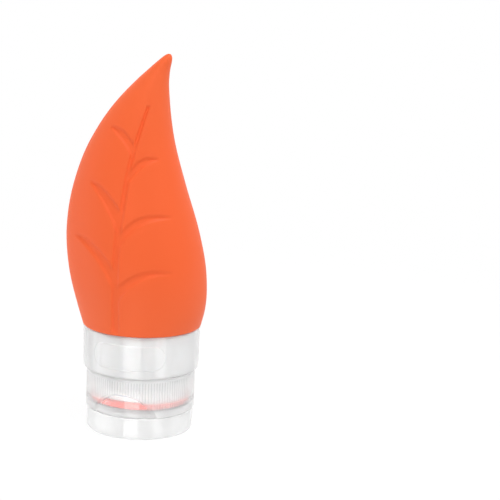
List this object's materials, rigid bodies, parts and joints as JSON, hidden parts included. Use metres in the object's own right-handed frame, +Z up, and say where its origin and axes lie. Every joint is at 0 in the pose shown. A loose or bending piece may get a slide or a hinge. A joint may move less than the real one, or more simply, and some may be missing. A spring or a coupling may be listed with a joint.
{
  "type": "travel squeeze bottle",
  "caption": "Leaf-shaped soft silicone squeeze bottle standing on a clear flip-top screw cap, with a turning sleeve that has an oval contents window.",
  "frame": {"origin": "centre of the lid's flat resting face, on the cap's axis", "axes": "+Z up the cap's axis towards the tip of the leaf; -Y the front with the thumb scoop; the leaf's tip leans to +X"},
  "size_m": [0.0474, 0.0388, 0.1238],
  "materials": {
    "orange_silicone": "satin-matt moulded silicone rubber, bright orange",
    "milky_plastic": "natural milky polypropylene",
    "clear_plastic": "clear, slightly hazy moulded plastic, glossy",
    "red_seal_silicone": "soft silicone sealing ring, red-orange",
    "pale_silicone": "soft translucent white silicone"
  },
  "bodies": {
    "cap": {"cap_base": "clear_plastic", "drip_valve": "pale_silicone", "valve_retainer": "milky_plastic", "living_hinge": "clear_plastic"},
    "lid": {"flip_lid": "clear_plastic"},
    "seal": {"cap_gasket": "red_seal_silicone"},
    "bottle": {"bottle_body": "orange_silicone", "neck_ring": "milky_plastic", "neck_insert": "milky_plastic"},
    "sleeve": {"window_sleeve": "clear_plastic"}
  },
  "joints": [
    {"name": "lid_flip", "type": "hinge", "parent": "cap", "child": "lid", "pos_m": [0, 0.01822, 0.00745], "axis": [1, 0, 0], "range_deg": [0, 140], "deforming": ["living_hinge"]},
    {"name": "cap_turn", "type": "hinge", "parent": "cap", "child": "seal", "pos_m": [0, 0, 0.0115], "axis": [0, 0, 1], "range_deg": [0, 450]},
    {"name": "neck_lift", "type": "slide", "parent": "seal", "child": "bottle", "axis": [0, 0, 1], "range_m": [0, 0.00751]},
    {"name": "sleeve_turn", "type": "hinge", "parent": "bottle", "child": "sleeve", "pos_m": [0, 0, 0.028], "axis": [0, 0, 1], "continuous": true}
  ],
  "couplings": [
    {"joint": "neck_lift", "follows": "cap_turn", "m_per_rad": 0.00095493}
  ]
}
